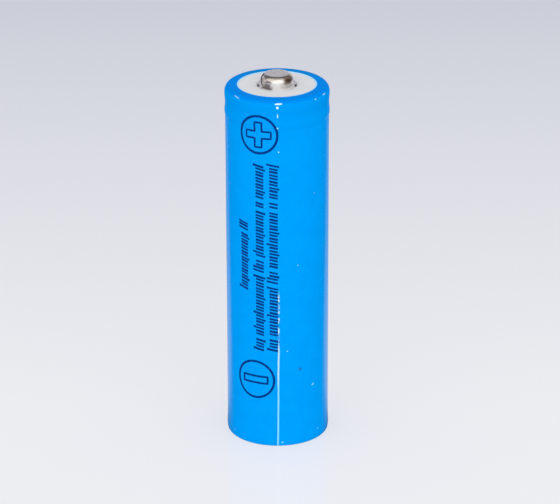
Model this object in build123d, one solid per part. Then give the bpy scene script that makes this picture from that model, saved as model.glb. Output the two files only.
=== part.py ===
from build123d import *
import os
from math import cos, radians, sqrt

# A protected cylindrical lithium-ion cell with a raised button terminal, in millimetres.
# The origin is the centre of the flat foot. +Z runs up the axis to the positive button.
# The nickel strip that joins the button to the safety board runs down the back, on +Y.
# Every size below is set by itself. What follows from it is worked out further down.

# ---- bare cell: deep-drawn can, beaded and crimped at its mouth ----
can_r = 9.10
cell_length = 65.0
can_wall = 0.20
can_base = 0.30
can_corner = 0.80
bead_depth = 1.05
bead_half_width = 0.55
bead_floor_half = 0.35
bead_round = 0.25
crimp_round = 0.85
crimp_reach = 1.70

# ---- the bare cell's own film, under the strip and the sleeve ----
wrap_film = 0.09
wrap_short = 0.30

# ---- shrink sleeve ----
film = 0.09
sleeve_gap = 0.08
foot_round = 0.55
foot_lip_reach = 2.40
top_lip_reach = 2.41
shoulder_width = 0.95
shoulder_height = 1.30
rim_swell = 0.13
ridge_swell = 0.14
ridge_below_bead = 1.45
swell_length = 2.60
strip_bulge = 0.12
strip_bulge_half_width = 5.20
strip_room_over_rim = 0.31

# ---- button terminal ----
button_stand = 2.00
button_r = 2.98
button_draft = 0.18
button_shoulder_width = 0.93
button_shoulder_height = 1.30
button_foot_round = 0.15
button_sheet = 0.20
flange_lap = 1.15
vent_slot_inset = 0.42
vent_slot_width = 0.36
vent_slot_length = 1.80
vent_slot_margin = 0.10
vent_slot_angles = (0, 180)

# ---- insulating rings and discs ----
top_ring_t = 0.20
crimp_ring_overhang = 0.80
base_disc_t = 0.20
base_disc_inset = 0.40
upper_disc_t = 0.30
upper_disc_side_gap = 0.20
upper_disc_hole_r = 2.40
upper_disc_vent_r = 0.80
upper_disc_vents = 6
upper_room = 1.00
lower_disc_t = 0.20
lower_disc_hole_r = 0.90

# ---- nickel strips and tabs ----
strip_w = 4.00
strip_t = 0.08
strip_foot_reach = 1.70
strip_foot_round = 0.40
strip_pad_reach = 1.50
strip_tape_w = 6.00
strip_tape_t = 0.04
link_w = 3.00
link_t = 0.10
link_left = 1.60
link_right = 1.70
link_foot_left = 0.60
link_round = 0.20
tab_w = 2.80
tab_t = 0.10
tab_r = 1.60
tab_leg = 10.0
tab_fold_x = 4.60
tab_fold_round = 0.65
tab_leg_round = 0.30
tab_weld_reach = 1.20
negative_tab_w = 4.00
negative_tab_t = 0.08
negative_tab_short = 13.0
negative_tab_round = 0.60
negative_tab_reach = 2.00

# ---- cap assembly: crimped stack of cap, current limiter and safety vent ----
gasket_lip = 0.30
gasket_foot = 0.40
gasket_wall = 0.43
gasket_lip_reach = 1.88
gasket_foot_reach = 1.78
cap_sheet = 0.35
cap_rim_w = 2.40
cap_slope = 0.50
cap_hole_r = 0.45
cap_holes = 4
limiter_t = 0.32
limiter_w = 3.30
vent_sheet = 0.30
vent_rim_w = 1.90
vent_cone_w = 2.20
vent_web = 0.64
vent_dish_drop = 0.34
diaphragm_t = 0.25
diaphragm_dish = 0.10
diaphragm_flat_w = 1.00
diaphragm_score = 0.06
boss_r = 1.00
boss_ledge = 0.50
boss_height = 0.13
weld_disc_inset = 1.10
weld_disc_t = 0.30
weld_disc_hole_r = 0.55
weld_disc_hole_inset = 1.70
weld_disc_holes = 6
holder_lap = 0.90
holder_wall = 0.60

# ---- wound roll ----
roll_inner_r = 2.35
roll_side_gap = 0.40
cathode_t = 0.18
anode_t = 0.18
separator_t = 0.06
sheet_gap = 0.05
anode_margin = 0.40
cathode_margin = 0.90
roll_end_gap = 0.10
roll_tape_t = 0.04
roll_tape_length = 42.0
roll_tape_half_angle = 60.0
pin_r = 1.25
pin_wall = 0.25
pin_slot = 0.40
pin_short = 0.56

# ---- safety board under the can ----
contact_sheet = 0.25
contact_inset = 0.40
board_t = 0.60
board_inset = 0.45
board_room = 1.11
spacer_inset = 0.15
spacer_wall = 0.95
driver_body = (2.90, 1.60, 0.75)
driver_at = (-3.80, 1.40)
driver_lead = 0.35
driver_pitch = 0.95
switch_body = (3.00, 4.40, 0.80)
switch_at = (3.90, 0.60)
switch_lead = 0.25
switch_pitch = 0.65
lead_reach = 0.90
lead_t = 0.12
chip_body = (1.60, 0.80, 0.45)
chip_cap = 0.30
chip_cap_proud = 0.03
resistor_places = ((-3.90, -2.10), (-2.40, -4.00))
capacitor_place = (3.20, -4.20)

# ---- clearances ----
fit_gap = 0.02
loose_gap = 0.05
notch_gap = 0.20
seat_gap = 0.05

# ---- levels, from the foot up ----
plate_z = film
board_z = plate_z + contact_sheet
board_top = board_z + board_t
base_disc_z = board_top + board_room
can_z = base_disc_z + base_disc_t
crimp_z = can_z + cell_length
strip_lift = strip_tape_t + 2 * fit_gap
cap_z = crimp_z + strip_lift
flange_z = cap_z + strip_t
flange_top = flange_z + button_sheet
lip_z = flange_top + top_ring_t + film
button_top = lip_z + button_stand

# ---- levels of the crimped stack, from the crimp down ----
cap_rim_top = crimp_z - can_wall - gasket_lip
limiter_top = cap_rim_top - cap_sheet
vent_top = limiter_top - limiter_t
vent_z = vent_top - vent_sheet
gasket_z = vent_z - gasket_foot
bead_z = gasket_z - seat_gap - can_wall - bead_half_width
dish_z = vent_z - vent_dish_drop
boss_z = dish_z - diaphragm_dish - boss_height
weld_disc_top = boss_z - fit_gap
weld_disc_z = weld_disc_top - weld_disc_t

# ---- levels inside the can, from its floor up ----
can_floor = can_z + can_base
lower_disc_z = can_floor + negative_tab_t + 2 * fit_gap
roll_z = lower_disc_z + lower_disc_t + roll_end_gap
upper_disc_top = bead_z - bead_half_width - can_wall - upper_room
upper_disc_z = upper_disc_top - upper_disc_t
roll_top = upper_disc_z - loose_gap

# ---- radii ----
bore_r = can_r - can_wall
wrap_in_r = can_r + fit_gap
wrap_out_r = wrap_in_r + wrap_film
sleeve_in_r = wrap_out_r + sleeve_gap
body_r = sleeve_in_r + film
rim_r = body_r + rim_swell
ridge_r = body_r + ridge_swell
shoulder_r = rim_r - shoulder_width
rim_z = lip_z - shoulder_height
bulge_r = body_r + strip_bulge
strip_tape_in_r = wrap_out_r + fit_gap
strip_tape_out_r = strip_tape_in_r + strip_tape_t
strip_in_r = strip_tape_out_r + fit_gap
strip_out_r = strip_in_r + strip_t
foot_hole_r = body_r - foot_lip_reach
gasket_r = bore_r - fit_gap
gasket_lip_in_r = gasket_r - gasket_lip_reach
gasket_foot_in_r = gasket_r - gasket_foot_reach
crimp_ring_in_r = gasket_lip_in_r - crimp_ring_overhang
stack_r = gasket_r - gasket_wall - loose_gap
cap_slope_r = stack_r - cap_rim_w
cap_flat_r = cap_slope_r - cap_slope
vent_rim_in_r = stack_r - vent_rim_w
vent_dish_r = vent_rim_in_r - vent_cone_w
vent_hole_r = vent_dish_r - vent_web
diaphragm_r = vent_hole_r - diaphragm_score
weld_disc_r = vent_rim_in_r - weld_disc_inset
button_foot_r = button_r - button_draft
vent_slot_in_r = button_foot_r + vent_slot_inset
vent_slot_out_r = vent_slot_in_r + vent_slot_width
top_ring_in_r = vent_slot_out_r + vent_slot_margin
flange_r = top_ring_in_r + flange_lap
negative_tab_out_r = bore_r - 2 * loose_gap
lower_disc_r = negative_tab_out_r - negative_tab_round + loose_gap
upper_disc_r = bore_r - upper_disc_side_gap
roll_outer_r = bore_r - roll_side_gap
pitch = cathode_t + anode_t + 2 * separator_t + 4 * sheet_gap
spacer_r = can_r - spacer_inset
strip_foot_in_r = can_r - strip_foot_reach


def outline(*corners):
    """A closed half-section. A corner is (radius, height), or (radius, height, rounding)."""
    points = [corner[:2] for corner in corners]
    rounds = [corner[2] if len(corner) > 2 else 0.0 for corner in corners]
    return make_face(FilletPolyline(*points, radius=rounds, close=True))


def turned(section):
    return revolve(Plane.XZ * section, Axis.Z)


def disc(radius, bottom, thickness):
    return Pos(0, 0, bottom) * extrude(Circle(radius), thickness)


def ring(inner, outer, bottom, thickness):
    return Pos(0, 0, bottom) * extrude(Circle(outer) - Circle(inner), thickness)


def block(low, high):
    size = [b - a for a, b in zip(low, high)]
    middle = [(a + b) / 2 for a, b in zip(low, high)]
    return Pos(*middle) * Box(*size)


def bent_strip(points, rounds, width, thickness):
    """Flat sheet bent along a centre line of (x, height) points, as wide as width across Y."""
    line = Plane.XZ * FilletPolyline(*points, radius=rounds)
    start = Plane(origin=line @ 0, x_dir=(0, 1, 0), z_dir=line % 0)
    return sweep(start * Rectangle(width, thickness), path=line)


def swell(start, end):
    """A curve that leaves one radius and reaches the next, upright at both."""
    half = (end[1] - start[1]) / 2
    return Bezier(start, (start[0], start[1] + half), (end[0], end[1] - half), end)


# ---------------------------------------------------------------- sleeve


def sleeve_skin():
    """Outer half-section of the film, filled to the axis."""
    swell_z = bead_z - swell_length
    ridge = (ridge_r, bead_z - ridge_below_bead)
    dip = (body_r, bead_z)
    rim = (rim_r, rim_z)
    edges = [
        Line((0, 0), (body_r - foot_round, 0)),
        CenterArc((body_r - foot_round, foot_round), foot_round, 270, 90),
        Line((body_r, foot_round), (body_r, swell_z)),
        swell((body_r, swell_z), ridge),
        swell(ridge, dip),
        swell(dip, rim),
        EllipticalCenterArc((shoulder_r, rim_z), shoulder_width, shoulder_height, arc_size=90),
        Line((shoulder_r, lip_z), (0, lip_z)),
        Line((0, lip_z), (0, 0)),
    ]
    return make_face(edges)


def sleeve_core():
    """Everything that the film is shrunk on, as one filled half-section."""
    corner = foot_round - film
    width = sleeve_in_r - shoulder_r
    edges = [
        Line((0, film), (sleeve_in_r - corner, film)),
        CenterArc((sleeve_in_r - corner, foot_round), corner, 270, 90),
        Line((sleeve_in_r, foot_round), (sleeve_in_r, rim_z)),
        EllipticalCenterArc((shoulder_r, rim_z), width, shoulder_height - film, arc_size=90),
        Line((shoulder_r, lip_z - film), (0, lip_z - film)),
        Line((0, lip_z - film), (0, film)),
    ]
    return make_face(edges)


def strip_bulge_skin():
    """The film lifted over the strip: a flatter arc that runs out into the round body."""
    edge_y = sqrt(body_r**2 - strip_bulge_half_width**2)
    offset = (bulge_r**2 - body_r**2) / (2 * (bulge_r - edge_y))
    lifted = Pos(0, offset) * Circle(bulge_r - offset)
    back = Pos(0, body_r) * Rectangle(2 * strip_bulge_half_width, body_r)
    tall = extrude(lifted & back, rim_z)
    envelope = outline(
        (0, foot_round),
        (body_r, foot_round),
        (bulge_r + film, board_top),
        (bulge_r + film, rim_z),
        (0, rim_z),
    )
    return tall & turned(envelope)


def strip_channel():
    """Room under the film for the strip and, wider and shallower, for its tape."""
    low = board_top - seat_gap
    high = rim_z + strip_room_over_rim
    lanes = []
    for width, out_r in ((strip_w, strip_out_r), (strip_tape_w, strip_tape_out_r)):
        half = width / 2 + notch_gap
        column = disc(out_r + fit_gap, low, high - low)
        lanes.append(column & block((-half, 0, low), (half, 2 * body_r, high)))
    return lanes[0] + lanes[1]


def sleeve():
    skin = turned(sleeve_skin()) + strip_bulge_skin()
    core = turned(sleeve_core()) + strip_channel()
    foot_hole = disc(foot_hole_r, -film, 3 * film)
    top_hole = disc(body_r - top_lip_reach, lip_z - 2 * film, 3 * film)
    return skin - core - foot_hole - top_hole


# ------------------------------------------------------ positive terminal


def cup_line(inset):
    """One face of the drawn cup, from the axis to the flange, pulled in by inset."""
    flat_r = button_r - button_shoulder_width
    flat_z = button_top - inset
    wide_z = button_top - button_shoulder_height
    width = button_shoulder_width - inset
    height = button_shoulder_height - inset
    foot_r = button_foot_r - inset
    fillet = button_foot_round + inset
    fillet_z = flange_top + button_foot_round
    return [
        Line((0, flat_z), (flat_r, flat_z)),
        EllipticalCenterArc((flat_r, wide_z), width, height, arc_size=90),
        swell((button_r - inset, wide_z), (foot_r, fillet_z)),
        CenterArc((foot_r + fillet, fillet_z), fillet, 180, 90),
    ]


def button_terminal():
    """Drawn cup whose flange is welded on the strip, with a slot beside each side of its foot."""
    outer = cup_line(0)
    inner = cup_line(button_sheet)
    flange = Polyline(outer[-1] @ 1, (flange_r, flange_top), (flange_r, flange_z), inner[-1] @ 1)
    axis = Line((0, button_top), (0, button_top - button_sheet))
    button = turned(make_face([*outer, *inner, flange, axis]))
    slot_low = flange_z - button_sheet
    slot_height = 3 * button_sheet
    channel = ring(vent_slot_in_r, vent_slot_out_r, slot_low, slot_height)
    half = vent_slot_length / 2
    slot = channel & block((0, -half, slot_low), (flange_r, half, slot_low + slot_height))
    for angle in vent_slot_angles:
        button -= Rot(0, 0, angle) * slot
    return button


def top_insulator_ring():
    return ring(top_ring_in_r, shoulder_r - loose_gap, flange_top, top_ring_t)


def crimp_insulator_ring():
    return ring(crimp_ring_in_r, can_r - crimp_round - loose_gap, crimp_z, strip_lift)


def positive_strip():
    """Runs from the cap over the crimp and down the back of the can, then under it to the board."""
    foot_z = board_top + fit_gap
    section = outline(
        (0, cap_z + strip_t),
        (strip_out_r, cap_z + strip_t, strip_out_r - can_r + crimp_round),
        (strip_out_r, foot_z, strip_foot_round),
        (strip_foot_in_r, foot_z),
        (strip_foot_in_r, foot_z + strip_t),
        (strip_in_r, foot_z + strip_t, strip_foot_round - strip_t),
        (strip_in_r, cap_z, strip_in_r - can_r + crimp_round),
        (0, cap_z),
    )
    half = strip_w / 2
    lane = block((-half, -strip_pad_reach, 0), (half, 2 * body_r, button_top))
    return turned(section) & lane


def strip_insulation_tape():
    """Tape that keeps the positive strip off the can, from its foot to over the crimp."""
    low = can_z + can_corner
    out_r = strip_tape_out_r
    inner_z = crimp_z + fit_gap
    end_r = can_r - crimp_round - fit_gap
    section = outline(
        (end_r, inner_z),
        (end_r, inner_z + strip_tape_t),
        (out_r, inner_z + strip_tape_t, out_r - can_r + crimp_round),
        (out_r, low),
        (strip_tape_in_r, low),
        (strip_tape_in_r, inner_z, strip_tape_in_r - can_r + crimp_round),
    )
    half = strip_tape_w / 2
    lane = block((-half, 0, low), (half, 2 * body_r, button_top))
    return turned(section) & lane


def cell_wrap():
    """Film on the straight part of the can, between its foot's rounding and the crimp's."""
    low = can_z + can_corner
    high = crimp_z - crimp_round - wrap_short
    return ring(wrap_in_r, wrap_out_r, low, high - low)


# ------------------------------------------------------------------- can


def can_section(inset, floor):
    """Half-section of the can, filled to the axis, pulled in by inset on every wall."""
    r = can_r - inset
    groove_r = can_r - bead_depth - inset
    top = crimp_z - inset
    return outline(
        (0, can_z + floor),
        (r, can_z + floor, can_corner - inset),
        (r, bead_z - bead_half_width - inset, bead_round + inset),
        (groove_r, bead_z - bead_floor_half - inset, bead_round),
        (groove_r, bead_z + bead_floor_half + inset, bead_round),
        (r, bead_z + bead_half_width + inset, bead_round + inset),
        (r, top, crimp_round - inset),
        (0, top),
    )


def can():
    shell = turned(can_section(0, 0)) - turned(can_section(can_wall, can_base))
    mouth = disc(can_r - crimp_reach, crimp_z - 2 * can_wall, 3 * can_wall)
    return shell - mouth


# ---------------------------------------------------------- cap assembly


def gasket():
    top = crimp_z - can_wall - fit_gap
    section = outline(
        (gasket_foot_in_r, gasket_z),
        (gasket_r, gasket_z, bead_round + can_wall),
        (gasket_r, top, crimp_round - can_wall),
        (gasket_lip_in_r, top),
        (gasket_lip_in_r, cap_rim_top),
        (gasket_r - gasket_wall, cap_rim_top),
        (gasket_r - gasket_wall, vent_z),
        (gasket_foot_in_r, vent_z),
    )
    return turned(section)


def top_cap():
    """Stepped cap: its rim is held in the gasket and its flat top carries strip and button."""
    half_sheet = cap_sheet / 2
    skin = outline(
        (0, cap_z),
        (cap_flat_r, cap_z, half_sheet),
        (cap_slope_r, cap_rim_top, half_sheet),
        (stack_r, cap_rim_top),
        (stack_r, limiter_top),
        (0, limiter_top),
    )
    hollow = outline(
        (0, cap_z - cap_sheet),
        (cap_flat_r - half_sheet, cap_z - cap_sheet),
        (cap_slope_r - half_sheet, limiter_top),
        (0, limiter_top),
    )
    hole = disc(cap_hole_r, limiter_top, cap_z - limiter_top + cap_sheet)
    cap = turned(skin) - turned(hollow)
    for place in PolarLocations(cap_flat_r + cap_slope / 2, cap_holes, start_angle=45):
        cap -= place * hole
    return cap


def current_limiter_ring():
    return ring(stack_r - limiter_w, stack_r, vent_top, limiter_t)


def vent_underside(radius):
    """Height of the vent disc's underside on its cone."""
    fall = (vent_rim_in_r + loose_gap - radius) / (vent_rim_in_r - vent_dish_r)
    return vent_z - vent_dish_drop * fall


def vent_disc():
    section = outline(
        (stack_r, vent_top),
        (vent_rim_in_r, vent_top),
        (vent_dish_r, dish_z + diaphragm_t),
        (vent_hole_r, dish_z + diaphragm_t),
        (vent_hole_r, dish_z),
        (vent_dish_r + loose_gap, dish_z),
        (vent_rim_in_r + loose_gap, vent_z),
        (stack_r, vent_z),
    )
    return turned(section)


def vent_diaphragm():
    """Centre of the vent, cut free by its score line; it snaps upward when the cell over-pressures."""
    dished = dish_z - diaphragm_dish
    ledge_r = boss_r + boss_ledge
    flat_r = diaphragm_r - diaphragm_flat_w
    section = outline(
        (0, dished + diaphragm_t),
        (ledge_r, dished + diaphragm_t),
        (flat_r, dish_z + diaphragm_t),
        (diaphragm_r, dish_z + diaphragm_t),
        (diaphragm_r, dish_z),
        (flat_r, dish_z),
        (ledge_r, dished),
        (boss_r, dished),
        (boss_r, boss_z),
        (0, boss_z),
    )
    return turned(section)


def weld_disc():
    disc_body = disc(weld_disc_r, weld_disc_z, weld_disc_t)
    hole = disc(weld_disc_hole_r, weld_disc_z - weld_disc_t, 3 * weld_disc_t)
    for place in PolarLocations(weld_disc_r - weld_disc_hole_inset, weld_disc_holes):
        disc_body -= place * hole
    return disc_body


def weld_disc_holder():
    """Insulating ring that carries the weld disc under the vent disc."""
    lip_r = weld_disc_r - holder_lap
    inner_wall = weld_disc_r + loose_gap
    outer_wall = inner_wall + holder_wall
    under = weld_disc_top + fit_gap
    section = outline(
        (lip_r, under),
        (lip_r, vent_underside(lip_r) - fit_gap),
        (outer_wall, vent_underside(outer_wall) - fit_gap),
        (outer_wall, weld_disc_z),
        (inner_wall, weld_disc_z),
        (inner_wall, under),
    )
    return turned(section)


def positive_tab():
    """Aluminium tab from the roll's core, folded once and welded under the weld disc."""
    fold_low = upper_disc_top + tab_fold_round / 2
    weld_line = weld_disc_z - fit_gap - tab_t / 2
    points = [
        (tab_r, roll_top - tab_leg),
        (tab_r, fold_low),
        (tab_fold_x, fold_low),
        (tab_fold_x, weld_line),
        (-tab_weld_reach, weld_line),
    ]
    return bent_strip(points, [tab_leg_round, tab_fold_round, tab_fold_round], tab_w, tab_t)


# ------------------------------------------------------------ wound roll


def half_turns(start_r, thickness):
    """As many half turns as fit between the sheet's start and the roll's outside."""
    room = roll_outer_r - pitch / 4 - start_r - thickness
    return int(room / (pitch / 2)) + 1


def spiral_edges(start_r, turns):
    """Half circles about two centres, each half a pitch larger than the last."""
    edges = []
    for k in range(turns):
        side = -1 if k % 2 == 0 else 1
        centre = (side * pitch / 4, 0)
        edges.append(CenterArc(centre, start_r + k * pitch / 2, 0 if side < 0 else 180, 180))
    return edges


def wound_sheet(start_r, thickness, margin):
    turns = half_turns(start_r, thickness)
    inside = spiral_edges(start_r, turns)
    outside = spiral_edges(start_r + thickness, turns)
    ends = [
        Line(inside[0] @ 0, outside[0] @ 0),
        Line(inside[-1] @ 1, outside[-1] @ 1),
    ]
    face = make_face([*inside, *outside, *ends])
    height = roll_top - roll_z - 2 * margin
    return Pos(0, 0, roll_z + margin) * extrude(face, height)


def separator_inner():
    return wound_sheet(roll_inner_r, separator_t, 0)


def anode_sheet():
    return wound_sheet(roll_inner_r + separator_t + sheet_gap, anode_t, anode_margin)


def separator_outer():
    start = roll_inner_r + separator_t + anode_t + 2 * sheet_gap
    return wound_sheet(start, separator_t, 0)


def cathode_sheet():
    start = roll_inner_r + 2 * separator_t + anode_t + 3 * sheet_gap
    return wound_sheet(start, cathode_t, cathode_margin)


def roll_closing_tape():
    inner = roll_outer_r + loose_gap
    low = (roll_z + roll_top - roll_tape_length) / 2
    band = ring(inner, inner + roll_tape_t, low, roll_tape_length)
    reach = 2 * can_r
    edge_x = -inner * cos(radians(roll_tape_half_angle))
    side = block((-reach, -reach, low), (edge_x, reach, low + roll_tape_length))
    return band & side


def centre_pin():
    low = lower_disc_z + lower_disc_t + loose_gap
    high = upper_disc_top - pin_short
    slot = block((-2 * pin_r, -pin_slot / 2, low), (0, pin_slot / 2, high))
    return ring(pin_r - pin_wall, pin_r, low, high - low) - slot


def upper_insulator_disc():
    plate = ring(upper_disc_hole_r, upper_disc_r, upper_disc_z, upper_disc_t)
    hole = disc(upper_disc_vent_r, upper_disc_z - upper_disc_t, 3 * upper_disc_t)
    for place in PolarLocations((upper_disc_hole_r + upper_disc_r) / 2, upper_disc_vents):
        plate -= place * hole
    return plate


def lower_insulator_disc():
    return ring(lower_disc_hole_r, lower_disc_r, lower_disc_z, lower_disc_t)


def negative_tab():
    """Nickel tab from the roll's last turn, bent under the roll and welded to the can's floor."""
    leaf_z = can_floor + fit_gap
    leaf_top = leaf_z + negative_tab_t
    out_r = negative_tab_out_r
    in_r = out_r - negative_tab_t
    leg_top = roll_top - negative_tab_short
    section = outline(
        (0, leaf_z),
        (out_r, leaf_z, negative_tab_round),
        (out_r, leg_top),
        (in_r, leg_top),
        (in_r, leaf_top, negative_tab_round - negative_tab_t),
        (0, leaf_top),
    )
    half = negative_tab_w / 2
    lane = block((-negative_tab_reach, -half, 0), (2 * can_r, half, leg_top))
    return turned(section) & lane


# ---------------------------------------------------------- safety board


def can_base_insulator():
    half = link_w / 2 + notch_gap
    window = block(
        (-link_left - notch_gap, -half, 0),
        (link_right + link_t + notch_gap, half, can_z),
    )
    return disc(can_r - base_disc_inset, base_disc_z, base_disc_t) - window


def board_spacer_ring():
    half = strip_w / 2 + notch_gap
    gap = block((-half, 0, 0), (half, 2 * body_r, can_z))
    return ring(spacer_r - spacer_wall, spacer_r, board_top, board_room) - gap


def negative_link():
    """Folded nickel link from the can's base, through the insulator, to the board."""
    upper = can_z - fit_gap - link_t / 2
    lower = board_top + fit_gap + link_t / 2
    points = [
        (-link_left, upper),
        (link_right, upper),
        (link_right, lower),
        (-link_foot_left, lower),
    ]
    return bent_strip(points, [link_round, link_round], link_w, link_t)


def protection_board():
    return disc(can_r - board_inset, board_z, board_t)


def negative_contact_plate():
    """Round plate under the board, pressed out level with the sleeve's foot."""
    face = disc(foot_hole_r - 2 * loose_gap, 0, plate_z)
    return disc(can_r - contact_inset, plate_z, contact_sheet) + face


def gull_lead(edge, level, width):
    """One bent lead that leaves a moulded body at its edge and stands on the board."""
    foot = board_top + fit_gap + lead_t / 2
    knee = edge + lead_reach / 2
    points = [(edge - lead_t, level), (knee, level), (knee, foot), (edge + lead_reach, foot)]
    return bent_strip(points, [lead_t, lead_t], width, lead_t)


def moulded_chip(body, at, lead_width, lead_pitch, leads, turn):
    """Moulded body with a row of bent leads down each of its two sides."""
    length, width, height = body
    low = board_top + 4 * fit_gap
    shape = block((-width / 2, -length / 2, low), (width / 2, length / 2, low + height))
    lead = gull_lead(width / 2, low + height / 2, lead_width)
    for side in (0, 180):
        for k in range(leads):
            along = (k - (leads - 1) / 2) * lead_pitch
            shape += Rot(0, 0, side) * Pos(0, along, 0) * lead
    return Pos(at[0], at[1], 0) * Rot(0, 0, turn) * shape


def protection_driver():
    return moulded_chip(driver_body, driver_at, driver_lead, driver_pitch, 3, 90)


def switch_pair():
    return moulded_chip(switch_body, switch_at, switch_lead, switch_pitch, 4, 90)


def chip(at):
    """Ceramic block with a plated cap on each end."""
    length, width, height = chip_body
    low = board_top + fit_gap
    body_low = low + chip_cap_proud
    middle = block((-length / 2, -width / 2, body_low), (length / 2, width / 2, body_low + height))
    reach = width / 2 + chip_cap_proud
    cap = block(
        (length / 2 - chip_cap, -reach, low),
        (length / 2 + chip_cap_proud, reach, body_low + height + chip_cap_proud),
    )
    whole = middle + cap + Rot(0, 0, 180) * cap
    return Pos(at[0], at[1], 0) * whole


def chip_resistors():
    return Compound(children=[chip(place) for place in resistor_places])


def chip_capacitor():
    return chip(capacitor_place)


pieces = [
    sleeve,
    button_terminal,
    top_insulator_ring,
    crimp_insulator_ring,
    positive_strip,
    strip_insulation_tape,
    cell_wrap,
    can,
    gasket,
    top_cap,
    current_limiter_ring,
    vent_disc,
    vent_diaphragm,
    weld_disc,
    weld_disc_holder,
    positive_tab,
    separator_inner,
    anode_sheet,
    separator_outer,
    cathode_sheet,
    roll_closing_tape,
    centre_pin,
    upper_insulator_disc,
    lower_insulator_disc,
    negative_tab,
    can_base_insulator,
    board_spacer_ring,
    negative_link,
    protection_board,
    negative_contact_plate,
    protection_driver,
    switch_pair,
    chip_resistors,
    chip_capacitor,
]

os.makedirs("parts", exist_ok=True)
for piece in pieces:
    export_step(piece(), f"parts/{piece.__name__}.step")
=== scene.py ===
from math import asin, atan2, cos, exp, hypot, pi, radians, sin, sqrt

import bpy
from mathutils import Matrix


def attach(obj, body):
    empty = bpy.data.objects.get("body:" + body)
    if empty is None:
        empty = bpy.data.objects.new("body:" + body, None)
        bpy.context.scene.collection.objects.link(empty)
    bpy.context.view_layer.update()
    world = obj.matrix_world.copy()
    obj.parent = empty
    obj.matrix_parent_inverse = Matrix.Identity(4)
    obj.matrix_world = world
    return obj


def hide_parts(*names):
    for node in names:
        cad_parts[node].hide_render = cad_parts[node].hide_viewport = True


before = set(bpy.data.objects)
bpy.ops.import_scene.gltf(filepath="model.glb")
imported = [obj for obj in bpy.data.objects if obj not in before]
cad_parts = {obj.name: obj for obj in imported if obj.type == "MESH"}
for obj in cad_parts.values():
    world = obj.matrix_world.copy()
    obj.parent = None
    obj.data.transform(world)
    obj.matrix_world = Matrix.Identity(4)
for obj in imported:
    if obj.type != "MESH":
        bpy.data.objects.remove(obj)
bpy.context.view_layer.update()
scene = bpy.context.scene
scene.view_settings.view_transform = "Standard"

# ------------------------------------------------------ camera
# A long lens, 0.59 m from the cell's middle and looking down at 22 degrees.
# It is rolled an eighth of a degree, so the cell leans by one pixel over its height.
aim = (0.000477, 0.0, 0.03518)
back, pitch, roll = 0.58853, radians(22.232), radians(-0.124)
camera = bpy.data.objects.new("camera", bpy.data.cameras.new("camera"))
scene.collection.objects.link(camera)
scene.camera = camera
camera.location = (aim[0], -back * cos(pitch), aim[2] + back * sin(pitch))
camera.rotation_euler = (pi / 2 - pitch, 0, 0)
camera.rotation_euler.rotate_axis("Z", roll)
camera.data.sensor_width = 36
camera.data.lens = 205.71
camera.data.clip_start = 0.01

# --------------------------------------------- floor and light
# A sheet of pale light table under a plain soft tent. It glows from inside, so shadows on it
# are weak, shades from cool grey at the back to near white in front, and is faintly glossy.


def shader(name):
    """A new material, its node tree and the tree's Principled shader."""
    material = bpy.data.materials.new(name)
    material.use_nodes = True
    tree = material.node_tree
    return material, tree, tree.nodes["Principled BSDF"]


def feed(socket, value):
    """Links a socket to another one, or sets its number, vector or colour."""
    if isinstance(value, bpy.types.NodeSocket):
        socket.id_data.links.new(value, socket)
    elif socket.type == "RGBA" and len(value) == 3:
        socket.default_value = (*value, 1)
    else:
        socket.default_value = value


def add(tree, kind, **inputs):
    """A new node; keyword names are input sockets with spaces written as underscores, or settings."""
    node = tree.nodes.new(kind)
    for key, value in inputs.items():
        socket = next((s for s in node.inputs if s.name.replace(" ", "_") == key), None)
        if socket is None:
            setattr(node, key, value)
        else:
            feed(socket, value)
    return node


def tree_of(*values):
    """The node tree that the sockets among these values belong to."""
    return next(value.id_data for value in values if isinstance(value, bpy.types.NodeSocket))


def math(operation, *values):
    """A Math node on sockets and numbers."""
    node = add(tree_of(*values), "ShaderNodeMath", operation=operation)
    for socket, value in zip(node.inputs, values):
        feed(socket, value)
    return node.outputs[0]


def times(product, *factors):
    """The product of sockets and numbers."""
    for factor in factors:
        product = math("MULTIPLY", product, factor)
    return product


def ramp(fac, *stops):
    """A colour ramp of (position, colour) stops."""
    node = add(tree_of(fac), "ShaderNodeValToRGB", Fac=fac)
    while len(node.color_ramp.elements) < len(stops):
        node.color_ramp.elements.new(0.5)
    for element, (position, colour) in zip(node.color_ramp.elements, stops):
        element.position = position
        element.color = (*colour, 1)
    return node.outputs[0]


def mapped(value, low, high, to_low=0.0, to_high=1.0, smooth=True):
    """Map Range from low..high to to_low..to_high, clamped."""
    kind = "SMOOTHSTEP" if smooth else "LINEAR"
    ends = {"From_Min": low, "From_Max": high, "To_Min": to_low, "To_Max": to_high}
    node = add(tree_of(value), "ShaderNodeMapRange", interpolation_type=kind, Value=value, **ends)
    return node.outputs[0]


def mixed(fac, a, b):
    """Colour a where fac is 0 and b where it is 1."""
    node = add(tree_of(fac, a, b), "ShaderNodeMix", data_type="RGBA")
    for number, value in ((0, fac), (6, a), (7, b)):
        feed(node.inputs[number], value)
    return node.outputs[2]


def coordinates(tree):
    """A point's place on its piece, as X, Y and Z in metres."""
    place = add(tree, "ShaderNodeTexCoord").outputs["Object"]
    return add(tree, "ShaderNodeSeparateXYZ", Vector=place).outputs


def surface(bsdf, colour, roughness, metallic=0.0):
    """The shader's colour, roughness and share of metal, each a socket or one value."""
    for name, value in (("Base Color", colour), ("Roughness", roughness), ("Metallic", metallic)):
        feed(bsdf.inputs[name], value)


def shaded(mask, over, under):
    """One shader's output where mask is 1, over another's where it is 0."""
    node = add(tree_of(mask), "ShaderNodeMixShader")
    for socket, value in zip(node.inputs, (mask, under, over)):
        feed(socket, value)
    return node.outputs[0]


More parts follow.
